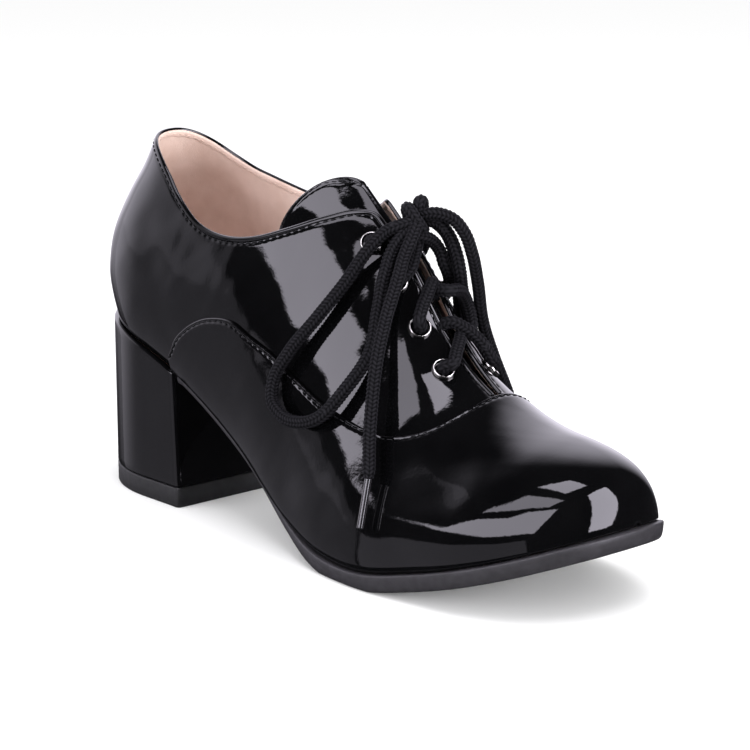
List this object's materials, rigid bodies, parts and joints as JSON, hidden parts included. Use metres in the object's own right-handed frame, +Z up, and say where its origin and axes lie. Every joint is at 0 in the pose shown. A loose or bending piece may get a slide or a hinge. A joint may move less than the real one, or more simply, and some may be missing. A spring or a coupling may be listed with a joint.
{
  "type": "lace-up pump",
  "caption": "Right lace-up pump on a block heel: a hollow upper with a plain vamp over the quarters, a tongue, eyelets, a tied round lace, an arched sole and a covered heel with a lift.",
  "frame": {"origin": "middle of the shoe's footprint box on the floor, the loose lace left out", "axes": "+X to the toe, +Y to the wearer's left (the inner side), +Z up; the shoe stands on its heel and the ball of its sole"},
  "size_m": [0.2413, 0.0829, 0.1272],
  "materials": {
    "patent_leather": "gloss",
    "lining_leather": "satin",
    "sole_rubber": "satin",
    "lift_rubber": "matte",
    "eyelet_metal": "gloss",
    "lace_cord": "matte",
    "aglet_plastic": "gloss"
  },
  "bodies": {
    "root": {"upper": "patent_leather", "vamp": "patent_leather", "tongue": "patent_leather", "insole": "lining_leather", "outsole": "sole_rubber", "heel": "patent_leather", "heel_top_lift": "lift_rubber", "lace_crossings": "lace_cord", "lace_knot": "lace_cord", "lace_loop_right": "lace_cord", "lace_loop_left": "lace_cord", "lace_end_right": "lace_cord", "lace_end_left": "lace_cord", "aglet_right": "aglet_plastic", "aglet_left": "aglet_plastic", "eyelet_right_1": "eyelet_metal", "eyelet_right_2": "eyelet_metal", "eyelet_right_3": "eyelet_metal", "eyelet_right_4": "eyelet_metal", "eyelet_left_1": "eyelet_metal", "eyelet_left_2": "eyelet_metal", "eyelet_left_3": "eyelet_metal", "eyelet_left_4": "eyelet_metal"}
  },
  "joints": []
}
